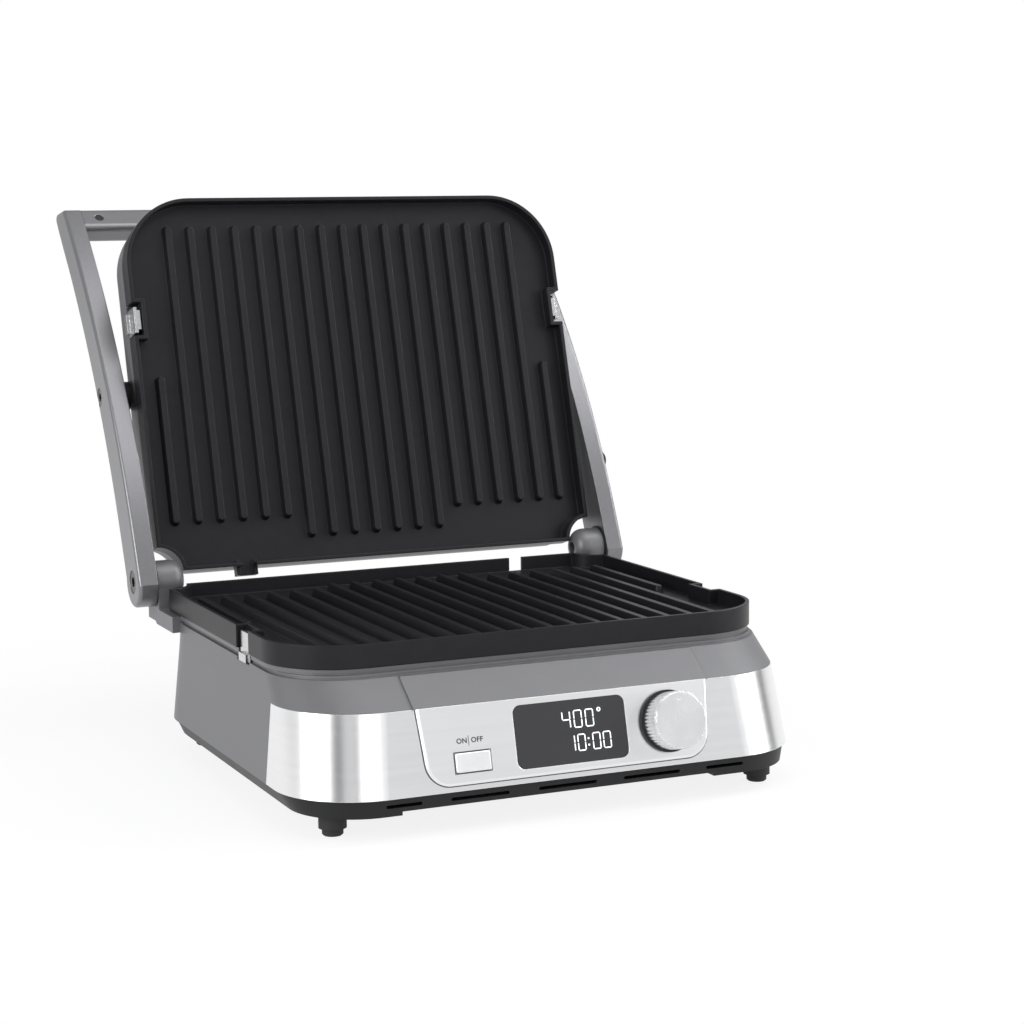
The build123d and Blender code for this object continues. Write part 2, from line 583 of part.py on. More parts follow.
with BuildPart() as base_housing:
    loft_between(outer_levels[0], outer_levels[1])
    loft_between(outer_levels[1], outer_levels[2])
    with BuildSketch(Plane.XY.offset(SHOULDER_Z)):
        hull_outline(
            SHOULDER_X - NECK,
            SHOULDER_F + NECK,
            SHOULDER_B - NECK,
            SHOULDER_RF - NECK,
            SHOULDER_RB - NECK,
        )
    extrude(amount=LIP_Z - SHOULDER_Z)
    with BuildSketch(centred(low, LIP_Z - RIM_Z)):
        plate_outline(LIP_IN, BITE)
    extrude(amount=RIM_Z - RIM_H - SEAT - LIP_Z)
    add(hood.part)
    # domed knuckles that carry the arms
    with BuildSketch(Plane(origin=(0, HINGE_Y, HINGE_Z), x_dir=(1, 0, 0), z_dir=(0, -1, 0))):
        Polygon(
            (KNUCKLE_IN, 0), (KNUCKLE_OUT, 0), (KNUCKLE_OUT, KNUCKLE_R), (KNUCKLE_IN, KNUCKLE_R),
            align=None,
        )
        fillet(vertices().group_by(Axis.Y)[-1].sort_by(Axis.X)[0], KNUCKLE_DOME)
        mirror(about=Plane.YZ)
    revolve(axis=hinge_axis)
    for side in (-1, 1):
        web_x = side * (KNUCKLE_IN + KNUCKLE_DOME)
        with BuildSketch(Plane.YZ.offset(web_x)):
            with Locations((HINGE_Y, HINGE_Z - KNUCKLE_R)):
                Rectangle(2 * (KNUCKLE_R - WEB_TRIM), 2 * KNUCKLE_R)
        extrude(amount=side * KNUCKLE_OUT - web_x)
        with BuildSketch(Plane.YZ.offset(web_x)):
            Polygon(
                (BRACKET_Y, BRACKET_Z),
                (HINGE_Y - BRACKET_TOE, BRACKET_Z),
                (HINGE_Y + KNUCKLE_R - WEB_TRIM, BRACKET_Z + BRACKET_H),
                (BRACKET_Y, BRACKET_Z + BRACKET_H),
                align=None,
            )
        extrude(amount=side * KNUCKLE_OUT - web_x)
    add(hollow.part, mode=Mode.SUBTRACT)
    with BuildSketch(centred(low, -RIM_H)):
        plate_outline(PAN_IN, BITE + PAN_IN)
    extrude(amount=-DECK_CUT, mode=Mode.SUBTRACT)
    with BuildSketch(centred(low, -RIM_H - SEAT)):
        plate_outline(PAN_IN - PAN_FLANGE, BITE + PAN_IN)
    extrude(amount=-SHEET, mode=Mode.SUBTRACT)
    add(band_blank.part, mode=Mode.SUBTRACT)
    with BuildSketch(panel_mid.offset(-PANEL_T + PROUD)):
        panel_outline(RUN)
    extrude(amount=2 * PANEL_T, mode=Mode.SUBTRACT)
    with BuildSketch(panel_mid.offset(PROUD)):
        panel_outline(-PANEL_LEDGE)
    extrude(amount=-4 * WALL, mode=Mode.SUBTRACT)
    # pockets for the plate latches
    with BuildSketch(centred(low, -RIM_H)):
        clip_pockets(GAP)
    extrude(amount=-CLIP_FOOT - GAP, mode=Mode.SUBTRACT)
    # hinge pin bores
    with BuildSketch(Plane.YZ.offset(-2 * BOT_X)):
        with Locations((HINGE_Y, HINGE_Z)):
            Circle(PIN_R + RUN)
    extrude(amount=4 * BOT_X, mode=Mode.SUBTRACT)
    # drawer bay at the back
    with BuildSketch(Plane.XY.offset(TRAY_Z0 - GAP)):
        with Locations((0, REAR_Y)):
            Rectangle(2 * (TRAY_HALF + GAP), 3 * OVERCUT)
    extrude(amount=TRAY_Z1 - TRAY_Z0 + 2 * GAP, mode=Mode.SUBTRACT)
    # corded power entry at the back
    with BuildSketch(Plane.XZ.offset(-BOT_B - OVERCUT)):
        with Locations((INLET_X, INLET_Z)):
            Circle(INLET_R)
    extrude(amount=3 * OVERCUT, mode=Mode.SUBTRACT)
    with BuildSketch(Plane.XZ.offset(-INLET_Y)):
        with Locations((INLET_X, INLET_Z)):
            Circle(INLET_R + INLET_RIM + SCREW_CLEAR)
    extrude(amount=-OVERCUT, mode=Mode.SUBTRACT)
save(base_housing, "base_housing")

# ================================================================ control panel
with BuildPart() as control_panel:
    with BuildSketch(panel_mid.offset(PROUD - PANEL_T)):
        panel_outline(-PANEL_SEAM)
    extrude(amount=PANEL_T)
    outward = Axis(panel_mid.origin, panel_mid.z_dir)
    chamfer(faces().sort_by(outward)[-1].edges().sort_by(Axis.Z)[:-1], PANEL_BEVEL)
    with BuildSketch(panel_mid.offset(PROUD - WINDOW_T)):
        with Locations((DISPLAY_X, panel_v(DISPLAY_Z))):
            RectangleRounded(DISPLAY_W + 2 * RUN, DISPLAY_H + 2 * RUN, DISPLAY_R)
    extrude(amount=PANEL_T, mode=Mode.SUBTRACT)
    with BuildSketch(panel_mid.offset(-PANEL_T)):
        with Locations((DISPLAY_X, panel_v(DISPLAY_Z))):
            RectangleRounded(DISPLAY_W - 2 * WINDOW_EDGE, DISPLAY_H - 2 * WINDOW_EDGE, DISPLAY_R / 2)
        with Locations((BUTTON_X, panel_v(BUTTON_Z))):
            RectangleRounded(BUTTON_W + GAP, BUTTON_H + GAP, BUTTON_R)
        with Locations((KNOB_X, panel_v(KNOB_Z))):
            Circle(SHAFT_HOLE)
    extrude(amount=3 * PANEL_T, mode=Mode.SUBTRACT)
    with BuildSketch(panel_mid.offset(PROUD - PANEL_T)):
        with Locations(*BOARD_POSTS):
            Circle(POST_R)
    extrude(amount=-BOARD_GAP)
    with BuildSketch(panel_mid.offset(PROUD - PANEL_T - BOARD_GAP)):
        with Locations(*BOARD_POSTS):
            Circle(POST_BORE_R)
    extrude(amount=BOARD_GAP, mode=Mode.SUBTRACT)
save(control_panel, "control_panel")

with BuildPart() as board_screws:
    under = panel_mid.offset(PROUD - PANEL_T - BOARD_GAP - BOARD_T)
    with BuildSketch(under):
        with Locations(*BOARD_POSTS):
            Circle(BOARD_HEAD_R)
    extrude(amount=-BOARD_T)
    with BuildSketch(under):
        with Locations(*BOARD_POSTS):
            Circle(BOARD_SCREW_R)
    extrude(amount=BOARD_GAP)
save(board_screws, "board_screws")

panel_face = panel_mid.offset(PROUD)


def on_panel(x, z, height=0.0):
    """Panel plane moved to a point of the panel face, raised by height."""
    origin = panel_face.from_local_coords(Vector(x, panel_v(z), height))
    return Plane(origin=origin, x_dir=(1, 0, 0), z_dir=panel_face.z_dir)


with BuildPart() as display_window:
    with BuildSketch(on_panel(DISPLAY_X, DISPLAY_Z, -WINDOW_T)):
        RectangleRounded(DISPLAY_W, DISPLAY_H, DISPLAY_R)
    extrude(amount=WINDOW_T - WINDOW_SINK)
save(display_window, "display_window")

with BuildPart() as display_module:
    with BuildSketch(on_panel(DISPLAY_X, DISPLAY_Z, -WINDOW_T)):
        RectangleRounded(DISPLAY_W - 2 * GLASS_EDGE, DISPLAY_H - 2 * GLASS_EDGE, DISPLAY_R / 2)
    extrude(amount=-MODULE_T)
    with BuildSketch(on_panel(DISPLAY_X, DISPLAY_Z, -PANEL_T - SEAT)):
        Rectangle(DISPLAY_W + 2 * MODULE_RIM, DISPLAY_H - 2 * MODULE_RIM)
    extrude(amount=-BOARD_GAP + SEAT)
save(display_module, "display_module")

with BuildPart() as control_board:
    with BuildSketch(on_panel(0, BOARD_Z, -PANEL_T - BOARD_GAP)):
        Rectangle(BOARD_W, BOARD_H)
        with Locations((KNOB_X, panel_v(KNOB_Z) - panel_v(BOARD_Z))):
            Circle(ENCODER_HOLE_R, mode=Mode.SUBTRACT)
        with GridLocations(BOARD_W - 2 * POST_IN, BOARD_H - 2 * POST_IN, 2, 2):
            Circle(BOARD_SCREW_R + SCREW_CLEAR, mode=Mode.SUBTRACT)
    extrude(amount=-BOARD_T)
    with BuildSketch(on_panel(0, BOARD_Z, -PANEL_T - BOARD_GAP - BOARD_T)):
        with Locations(*CHIPS):
            Rectangle(CHIP_W, CHIP_D)
        with Locations(*COILS):
            Rectangle(COIL_W, COIL_D)
    extrude(amount=-CHIP_T)
save(control_board, "control_board")

with BuildPart() as encoder:
    with BuildSketch(on_panel(KNOB_X, KNOB_Z, -PANEL_T - BOARD_GAP)):
        Rectangle(ENCODER_W, ENCODER_W)
    extrude(amount=BOARD_GAP - SEAT)
    with BuildSketch(on_panel(KNOB_X, KNOB_Z, -PANEL_T - BOARD_GAP)):
        Circle(SHAFT_R)
    extrude(amount=PANEL_T + BOARD_GAP + KNOB_OUT - SHAFT_END)
save(encoder, "encoder")

with BuildPart() as power_switch:
    with BuildSketch(on_panel(BUTTON_X, BUTTON_Z, -PANEL_T - BOARD_GAP)):
        Rectangle(SWITCH_W, SWITCH_D)
    extrude(amount=BOARD_GAP - SWITCH_DROP)
    with BuildSketch(on_panel(BUTTON_X, BUTTON_Z, -PANEL_T - BOARD_GAP)):
        Circle(SWITCH_PLUNGER_R)
    extrude(amount=BOARD_GAP - PLUNGER_DROP)
save(power_switch, "power_switch")

with BuildPart() as power_button:
    with BuildSketch(on_panel(BUTTON_X, BUTTON_Z, -PANEL_T + BUTTON_LIFT)):
        RectangleRounded(BUTTON_W - GAP, BUTTON_H - GAP, BUTTON_R)
    extrude(amount=PANEL_T + BUTTON_OUT - BUTTON_LIFT)
    key_dir = Axis(panel_face.origin, panel_face.z_dir)
    chamfer(faces().sort_by(key_dir)[-1].edges(), BUTTON_EDGE)
save(power_button, "power_button")

with BuildPart() as knob_cap:
    with BuildSketch(on_panel(KNOB_X, KNOB_Z, KNOB_LIFT + KNOB_RING_T)):
        Circle(KNOB_R)
        with PolarLocations(KNOB_R, FLUTES):
            Circle(FLUTE_R, mode=Mode.SUBTRACT)
    extrude(amount=KNOB_OUT - KNOB_RING_T - KNOB_LIFT)
    with BuildSketch(on_panel(KNOB_X, KNOB_Z, KNOB_OUT - RIM_STEP_H)):
        Circle(KNOB_R + RIM_STEP)
        Circle(KNOB_R - RIM_STEP, mode=Mode.SUBTRACT)
    extrude(amount=OVERCUT, mode=Mode.SUBTRACT)
    with BuildSketch(on_panel(KNOB_X, KNOB_Z, KNOB_LIFT)):
        Circle(KNOB_R - KNOB_WALL)
    extrude(amount=KNOB_OUT - KNOB_ROOF, mode=Mode.SUBTRACT)
    with BuildSketch(on_panel(KNOB_X, KNOB_Z, KNOB_OUT - RIM_STEP_H)):
        Circle(HUB_R)
    extrude(amount=KNOB_LIFT + KNOB_RING_T + RIM_STEP_H - KNOB_OUT)
    with BuildSketch(on_panel(KNOB_X, KNOB_Z, KNOB_LIFT)):
        Circle(SHAFT_R + RUN)
    extrude(amount=KNOB_OUT - SHAFT_END - KNOB_LIFT + SEAT, mode=Mode.SUBTRACT)
    with BuildSketch(on_panel(KNOB_X, KNOB_Z, KNOB_OUT - MARK_DEEP)):
        with Locations((0, KNOB_R - MARK_IN)):
            Circle(MARK_R)
    extrude(amount=OVERCUT, mode=Mode.SUBTRACT)
save(knob_cap, "knob_cap")

with BuildPart() as knob_ring:
    with BuildSketch(on_panel(KNOB_X, KNOB_Z, KNOB_LIFT)):
        Circle(KNOB_RING_R)
        Circle(KNOB_R - KNOB_WALL + SEAT, mode=Mode.SUBTRACT)
    extrude(amount=KNOB_RING_T)
save(knob_ring, "knob_ring")

# ================================================================ underside
with BuildPart() as base_cover:
    skirt_x, skirt_f, skirt_b = BOT_X - SKIRT_IN, BOT_F + SKIRT_IN, BOT_B - SKIRT_IN
    inner_rf, inner_rb = SKIRT_RF - SKIRT_SHRINK, SKIRT_RB - SKIRT_SHRINK
    loft_between(
        (SKIRT_BOT, skirt_x - SKIRT_TAPER, skirt_f + SKIRT_LEAN, skirt_b - SKIRT_TAPER, inner_rf, inner_rb),
        (BOT_Z - SEAT, skirt_x, skirt_f, skirt_b, SKIRT_RF, SKIRT_RB),
    )
    with BuildSketch(Plane.XY.offset(FLOOR_Z + FLOOR_T)):
        hull_outline(skirt_x - SKIRT_WALL, skirt_f + WALL + 1, skirt_b - SKIRT_WALL, inner_rf, inner_rb)
    extrude(amount=OVERCUT, mode=Mode.SUBTRACT)
    with BuildSketch(Plane.XY.offset(FLOOR_Z)):
        hull_outline(
            skirt_x - SKIRT_SHELF,
            skirt_f + SKIRT_SHELF,
            skirt_b - SKIRT_SHELF,
            inner_rf - WALL,
            inner_rb - WALL,
        )
    extrude(amount=-OVERCUT, mode=Mode.SUBTRACT)
    # raised middle of the front lower edge
    with BuildSketch(Plane.XZ.offset(-BOT_F + OVERCUT)):
        with Locations((ARCH_X, SKIRT_BOT)):
            Rectangle(ARCH_W, 2 * ARCH_H)
    extrude(amount=-3 * OVERCUT, mode=Mode.SUBTRACT)
    # front vents
    with BuildSketch(Plane.XZ.offset(-BOT_F + OVERCUT)):
        for x0, x1 in VENTS:
            with Locations(((x0 + x1) / 2, VENT_Z)):
                SlotOverall(x1 - x0, VENT_H)
    extrude(amount=-2.4 * OVERCUT, mode=Mode.SUBTRACT)
    # floor vents
    with BuildSketch(Plane.XY.offset(FLOOR_Z)):
        with GridLocations(SLOT_DX, SLOT_DY, SLOT_NX, SLOT_NY):
            SlotOverall(SLOT_L, SLOT_W, rotation=90)
        with Locations(*COVER_SCREWS):
            Circle(COVER_SCREW_R + SCREW_CLEAR)
    extrude(amount=FLOOR_T, mode=Mode.SUBTRACT)
    # runners of the drawer
    with BuildSketch(Plane.XY.offset(FLOOR_Z + FLOOR_T)):
        for side in (-1, 1):
            with Locations((side * (TRAY_HALF - RAIL_IN), TRAY_Y0 + RAIL_L / 2 + GAP)):
                Rectangle(RAIL_W, RAIL_L)
    extrude(amount=TRAY_Z0 - FLOOR_Z - FLOOR_T - SEAT)
    with BuildSketch(Plane.XY):
        with Locations(*FEET):
            Circle(FOOT_R + RUN)
    extrude(amount=FLOOR_Z, mode=Mode.SUBTRACT)
save(base_cover, "base_cover")

with BuildPart() as rubber_feet:
    with BuildSketch(Plane.XY.offset(FOOT_TIP_H)):
        with Locations(*FEET):
            Circle(FOOT_R)
    extrude(amount=FLOOR_Z - FOOT_TIP_H)
    with BuildSketch(Plane.XY):
        with Locations(*FEET):
            Circle(FOOT_TIP_R)
    extrude(amount=FOOT_TIP_H)
    chamfer(edges().group_by(Axis.Z)[0], FOOT_EDGE)
save(rubber_feet, "rubber_feet")

with BuildPart() as cover_screws:
    with BuildSketch(Plane.XY.offset(FLOOR_Z)):
        with Locations(*COVER_SCREWS):
            Circle(COVER_HEAD_R)
    extrude(amount=-COVER_HEAD_T)
    with BuildSketch(Plane.XY.offset(FLOOR_Z - COVER_HEAD_T)):
        with Locations(*COVER_SCREWS):
            Rectangle(CROSS_L, CROSS_W)
            Rectangle(CROSS_W, CROSS_L)
    extrude(amount=CROSS_DEEP, mode=Mode.SUBTRACT)
    with BuildSketch(Plane.XY.offset(FLOOR_Z)):
        with Locations(*COVER_SCREWS):
            Circle(COVER_SCREW_R)
    extrude(amount=COVER_SCREW_L)
save(cover_screws, "cover_screws")

with BuildPart() as drip_tray:
    tray_mid = (TRAY_Y0 + TRAY_Y1) / 2
    with BuildSketch(Plane.XY.offset(TRAY_Z0)):
        with Locations((0, tray_mid)):
            RectangleRounded(2 * TRAY_HALF, TRAY_Y1 - TRAY_Y0, TRAY_R)
    extrude(amount=TRAY_Z1 - TRAY_Z0 - TRAY_RIM_DROP)
    with BuildSketch(Plane.XY.offset(TRAY_Z0 + TRAY_WALL)):
        with Locations((0, tray_mid)):
            RectangleRounded(
                2 * (TRAY_HALF - TRAY_WALL), TRAY_Y1 - TRAY_Y0 - 2 * TRAY_WALL, TRAY_INNER_R
            )
    extrude(amount=TRAY_Z1, mode=Mode.SUBTRACT)
    with BuildSketch(Plane.XZ.offset(-TRAY_Y1)):
        with Locations((0, (TRAY_Z0 + TRAY_Z1) / 2)):
            Rectangle(2 * (TRAY_HALF - TRAY_FACE_TRIM), TRAY_Z1 - TRAY_Z0 - TRAY_FACE_TRIM)
    extrude(amount=-TRAY_FACE_T)
    with BuildSketch(Plane.XZ.offset(-TRAY_Y1 - TRAY_FACE_T)):
        with Locations((0, (TRAY_Z0 + TRAY_Z1) / 2 + PULL_UP)):
            SlotOverall(PULL_W, PULL_H)
    extrude(amount=-PULL_OUT)
save(drip_tray, "drip_tray")

with BuildPart() as inlet_bush:
    with BuildSketch(Plane.XZ.offset(-INLET_Y)):
        with Locations((INLET_X, INLET_Z)):
            Circle(INLET_R + INLET_RIM)
            Circle(INLET_HOLE, mode=Mode.SUBTRACT)
    extrude(amount=-INLET_RIM_T)
    with BuildSketch(Plane.XZ.offset(-INLET_Y)):
        with Locations((INLET_X, INLET_Z)):
            Circle(INLET_R - RUN)
            Circle(INLET_HOLE, mode=Mode.SUBTRACT)
    extrude(amount=INLET_L)
save(inlet_bush, "inlet_bush")

with BuildPart() as power_board:
    with BuildSketch(Plane.XY.offset(FLOOR_Z + FLOOR_T)):
        with Locations((SUPPLY_X, SUPPLY_Y)):
            with GridLocations(SUPPLY_W - 2 * POST_IN, SUPPLY_D - 2 * POST_IN, 2, 2):
                Circle(SUPPLY_POST_R)
    extrude(amount=SUPPLY_POST)
    with BuildSketch(Plane.XY.offset(FLOOR_Z + FLOOR_T + SUPPLY_POST)):
        with Locations((SUPPLY_X, SUPPLY_Y)):
            Rectangle(SUPPLY_W, SUPPLY_D)
    extrude(amount=BOARD_T)
    with BuildSketch(Plane.XY.offset(FLOOR_Z + FLOOR_T + SUPPLY_POST + BOARD_T)):
        with Locations(*RELAYS):
            Rectangle(RELAY_W, RELAY_D)
        with Locations((FILTER_X, FILTER_Y)):
            Rectangle(FILTER_W, FILTER_D)
    extrude(amount=PARTS_H)
save(power_board, "power_board")

with BuildPart() as terminal_block:
    with BuildSketch(Plane.XY.offset(FLOOR_Z + FLOOR_T)):
        with Locations((BLOCK_X, BLOCK_Y)):
            Rectangle(BLOCK_W, BLOCK_D)
    extrude(amount=BLOCK_H)
    with BuildSketch(Plane.XY.offset(FLOOR_Z + FLOOR_T + BLOCK_H)):
        with Locations((BLOCK_X, BLOCK_Y)):
            with GridLocations(BLOCK_PITCH, BLOCK_PITCH, BLOCK_WELLS, 1):
                Circle(BLOCK_WELL_R)
    extrude(amount=-BLOCK_WELL, mode=Mode.SUBTRACT)
save(terminal_block, "terminal_block")

# ================================================================ arms and handle
def arm_front(z):
    """Front edge of an arm at a height; it leans back further up."""
    rise = (z - ARM_SWEEP_Z) / ARM_SWEEP_SCALE
    return sum(c * rise**n for n, c in enumerate(ARM_SWEEP))


def arm_profile():
    """Side view of an arm: two parallel curves, round at the hinge, flat at the top."""
    edge = [(HINGE_Y - BOSS_R, HINGE_Z)] + [(arm_front(z), z) for z in range(120, 301, 20)]
    top = (arm_front(ARM_TOP_Z), ARM_TOP_Z)
    heel = (top[0] + ARM_TOP_DEPTH, top[1] - ARM_TOP_FALL)
    with BuildLine() as line:
        front_curve = Spline(*edge, top)
        back_curve = Spline(*[(y + ARM_DEPTH, z) for y, z in edge], heel)
        Line(front_curve @ 1, back_curve @ 1)
        CenterArc((HINGE_Y, HINGE_Z), BOSS_R, 180, 180)
    make_face(line.edges())
    fillet(vertices().sort_by(Axis.Y)[-2:], ARM_TOP_R)


BAR_TURN = atan2(2, arm_front(BAR_Z + 1) - arm_front(BAR_Z - 1))
BAR_BACK = BAR_THICK / 2 + BAR_INSET
BAR_MID_Y = arm_front(BAR_Z) + BAR_BACK * sin(BAR_TURN)
BAR_MID_Z = BAR_Z - BAR_BACK * cos(BAR_TURN)


def bar_plane(x):
    """Cross-section plane of the grip at x, its first axis along the arm."""
    return Plane(
        origin=(x, BAR_MID_Y, BAR_MID_Z),
        x_dir=(0, cos(BAR_TURN), sin(BAR_TURN)),
        z_dir=(1, 0, 0),
    )


def bar_face(side):
    """Plane on the front face of the grip, centred on the fixing screw of one end."""
    section = bar_plane(side * (ARM_IN - BAR_SCREW_IN))
    return Plane(
        origin=section.from_local_coords(Vector(0, BAR_THICK / 2, 0)),
        x_dir=(1, 0, 0),
        z_dir=section.y_dir,
    )


def make_arm(side, label):
    """Flat bar arm with hinge boss, pivot hole, rounded outer edges and a grip tenon."""
    with BuildPart() as arm:
        with BuildSketch(Plane.YZ.offset(side * ARM_IN)):
            arm_profile()
        extrude(amount=side * ARM_T)
        fillet(faces().sort_by(Axis.X)[-1 if side > 0 else 0].outer_wire().edges(), ARM_EDGE_R)
        with BuildSketch(Plane.YZ.offset(side * (ARM_IN - OVERCUT))):
            with Locations((HINGE_Y, HINGE_Z)):
                Circle(PIN_R + RUN)
            with Locations((PIVOT_Y, PIVOT_Z)):
                Circle(PIVOT_R + RUN)
        extrude(amount=side * (ARM_T + 2 * OVERCUT), mode=Mode.SUBTRACT)
        with BuildSketch(Plane.YZ.offset(side * (ARM_OUT - HEAD_T))):
            with Locations((HINGE_Y, HINGE_Z)):
                Circle(SCREW_HEAD_R + PROUD_TRIM)
            with Locations((PIVOT_Y, PIVOT_Z)):
                Circle(PIVOT_HEAD_R + PROUD_TRIM)
        extrude(amount=side * OVERCUT, mode=Mode.SUBTRACT)
        if side > 0:
            with BuildSketch(Plane.YZ.offset(ARM_OUT - LEVER_PIN)):
                with Locations((LEVER_Y, LEVER_Z)):
                    Circle(LEVER_PIN_R + RUN)
            extrude(amount=OVERCUT, mode=Mode.SUBTRACT)
        with BuildSketch(bar_plane(side * ARM_IN)):
            Rectangle(TENON_W, TENON_T)
        extrude(amount=-side * TENON_L)
        with BuildSketch(bar_face(side)):
            Circle(BAR_SCREW_R + RUN)
        extrude(amount=-BAR_THICK, mode=Mode.SUBTRACT)
    save(arm, label)


make_arm(-1, "arm_left")
make_arm(1, "arm_right")


def make_pins(y, z, radius, head_r, inner, label):
    """Pair of shoulder screws on one axis with hexagon sockets in the heads."""
    with BuildPart() as pins:
        for side in (-1, 1):
            with BuildSketch(Plane.YZ.offset(side * inner)):
                with Locations((y, z)):
                    Circle(radius)
            extrude(amount=side * (ARM_OUT - HEAD_T - inner))
            with BuildSketch(Plane.YZ.offset(side * (ARM_OUT - HEAD_T))):
                with Locations((y, z)):
                    Circle(head_r)
            extrude(amount=side * (HEAD_T - PROUD_TRIM))
            with BuildSketch(Plane.YZ.offset(side * (ARM_OUT - PROUD_TRIM))):
                with Locations((y, z)):
                    RegularPolygon(head_r / 2, 6)
            extrude(amount=-side * HEX_DEEP, mode=Mode.SUBTRACT)
    save(pins, label)


make_pins(HINGE_Y, HINGE_Z, PIN_R, SCREW_HEAD_R, KNUCKLE_IN + PIN_START, "hinge_screws")
make_pins(PIVOT_Y, PIVOT_Z, PIVOT_R, PIVOT_HEAD_R, LUG_IN + 1, "pivot_screws")

with BuildPart() as hinge_washers:
    for side in (-1, 1):
        with BuildSketch(Plane.YZ.offset(side * (KNUCKLE_OUT + SEAT))):
            with Locations((HINGE_Y, HINGE_Z)):
                Circle(KNUCKLE_R + WASHER_RIM)
                Circle(PIN_R + RUN, mode=Mode.SUBTRACT)
        extrude(amount=side * (ARM_IN - KNUCKLE_OUT - 2 * SEAT))
save(hinge_washers, "hinge_washers")

with BuildPart() as handle_bar:
    with BuildSketch(bar_plane(-ARM_IN + SEAT)):
        RectangleRounded(BAR_LONG, BAR_THICK, BAR_EDGE)
    extrude(amount=2 * (ARM_IN - SEAT))
    for side in (-1, 1):
        with BuildSketch(bar_plane(side * ARM_IN)):
            Rectangle(TENON_W + 2 * SEAT, TENON_T + 2 * SEAT)
        extrude(amount=-side * (TENON_L + SEAT), mode=Mode.SUBTRACT)
        with BuildSketch(bar_face(side)):
            Circle(BAR_HEAD_R + SCREW_CLEAR)
        extrude(amount=-BAR_HEAD_T, mode=Mode.SUBTRACT)
        with BuildSketch(bar_face(side)):
            Circle(BAR_SCREW_R + SCREW_CLEAR)
        extrude(amount=-BAR_THICK / 2, mode=Mode.SUBTRACT)
save(handle_bar, "handle_bar")

with BuildPart() as handle_screws:
    for side in (-1, 1):
        seat = bar_face(side).offset(-BAR_HEAD_T)
        with BuildSketch(seat):
            Circle(BAR_HEAD_R)
        extrude(amount=BAR_HEAD_T - PROUD_TRIM)
        with BuildSketch(seat):
            Circle(BAR_SCREW_R)
        extrude(amount=BAR_HEAD_T - BAR_THICK / 2)
save(handle_screws, "handle_screws")

with BuildPart() as release_lever:
    with BuildSketch(Plane.YZ.offset(ARM_OUT + GAP)):
        with Locations((LEVER_Y, LEVER_Z)):
            Circle(LEVER_R)
        with Locations((LEVER_Y + LEVER_DY, LEVER_Z + LEVER_DZ)):
            Circle(LEVER_TIP_R)
        make_hull()
    extrude(amount=LEVER_T)
    chamfer(faces().sort_by(Axis.X)[-1].edges(), LEVER_EDGE)
    with BuildSketch(Plane.YZ.offset(ARM_OUT - LEVER_PIN)):
        with Locations((LEVER_Y, LEVER_Z)):
            Circle(LEVER_PIN_R)
    extrude(amount=LEVER_PIN + GAP)
save(release_lever, "release_lever")

# ================================================================ lid shell
with BuildPart() as lid_housing:
    back_depth = -RIM_H - SEAT - LID_T
    with BuildSketch(centred(lid, -RIM_H - SEAT)):
        plate_outline(LID_IN, BITE + LID_IN)
    extrude(amount=-LID_T)
    crown = faces().sort_by(Axis(lid.origin, lid.z_dir))[0]
    fillet(crown.outer_wire().edges(), LID_EDGE)
    with BuildSketch(centred(lid, -RIM_H - SEAT - DECK_T)):
        plate_outline(LID_IN + WALL + LID_LEDGE, BITE + LID_IN + WALL)
    extrude(amount=-(LID_T - DECK_T - LID_EDGE), mode=Mode.SUBTRACT)
    with BuildSketch(centred(lid, -RIM_H - SEAT - LID_T + LID_EDGE)):
        plate_outline(LID_STEP, BITE + LID_STEP)
    extrude(amount=-(LID_EDGE - WALL), mode=Mode.SUBTRACT)
    with BuildSketch(centred(lid, -RIM_H)):
        clip_pockets(GAP)
    extrude(amount=-CLIP_FOOT - GAP, mode=Mode.SUBTRACT)
    with BuildSketch(centred(lid, -RIM_H)):
        plate_outline(PAN_IN, BITE + PAN_IN)
    extrude(amount=-DECK_T - SHEET, mode=Mode.SUBTRACT)
    with BuildSketch(centred(lid, -RIM_H - SEAT)):
        plate_outline(PAN_IN - PAN_FLANGE, BITE + PAN_IN)
    extrude(amount=-SHEET, mode=Mode.SUBTRACT)
    with BuildSketch(centred(lid, back_depth)):
        plate_outline(TOP_PANEL_IN - RUN, BITE + TOP_PANEL_IN)
    extrude(amount=TOP_PANEL_SINK, mode=Mode.SUBTRACT)
save(lid_housing, "lid_housing")

with BuildPart() as lid_top_panel:
    with BuildSketch(centred(lid, back_depth + TOP_PANEL_SINK)):
        plate_outline(TOP_PANEL_IN, BITE + TOP_PANEL_IN)
    extrude(amount=-TOP_PANEL_T)
save(lid_top_panel, "lid_top_panel")

with BuildPart() as pivot_lugs:
    for side in (-1, 1):
        with BuildSketch(Plane.YZ.offset(side * LUG_IN)):
            with Locations((PIVOT_Y, PIVOT_Z)):
                Circle(LUG_R)
                Circle(PIVOT_R + RUN, mode=Mode.SUBTRACT)
        extrude(amount=side * (ARM_IN - GAP - LUG_IN))
save(pivot_lugs, "pivot_lugs")
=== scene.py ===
import bpy, bmesh, math
from mathutils import Vector, Matrix


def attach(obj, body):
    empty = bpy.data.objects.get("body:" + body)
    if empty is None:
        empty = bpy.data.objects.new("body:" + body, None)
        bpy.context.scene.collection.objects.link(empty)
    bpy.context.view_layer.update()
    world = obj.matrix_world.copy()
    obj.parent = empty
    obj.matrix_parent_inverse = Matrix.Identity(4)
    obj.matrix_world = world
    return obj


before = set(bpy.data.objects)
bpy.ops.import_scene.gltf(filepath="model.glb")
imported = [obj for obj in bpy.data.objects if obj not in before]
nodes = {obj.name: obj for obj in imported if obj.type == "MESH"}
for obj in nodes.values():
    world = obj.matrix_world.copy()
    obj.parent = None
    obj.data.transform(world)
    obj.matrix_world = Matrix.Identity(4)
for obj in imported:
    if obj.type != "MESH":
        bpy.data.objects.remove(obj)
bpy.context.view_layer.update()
MM = 0.001

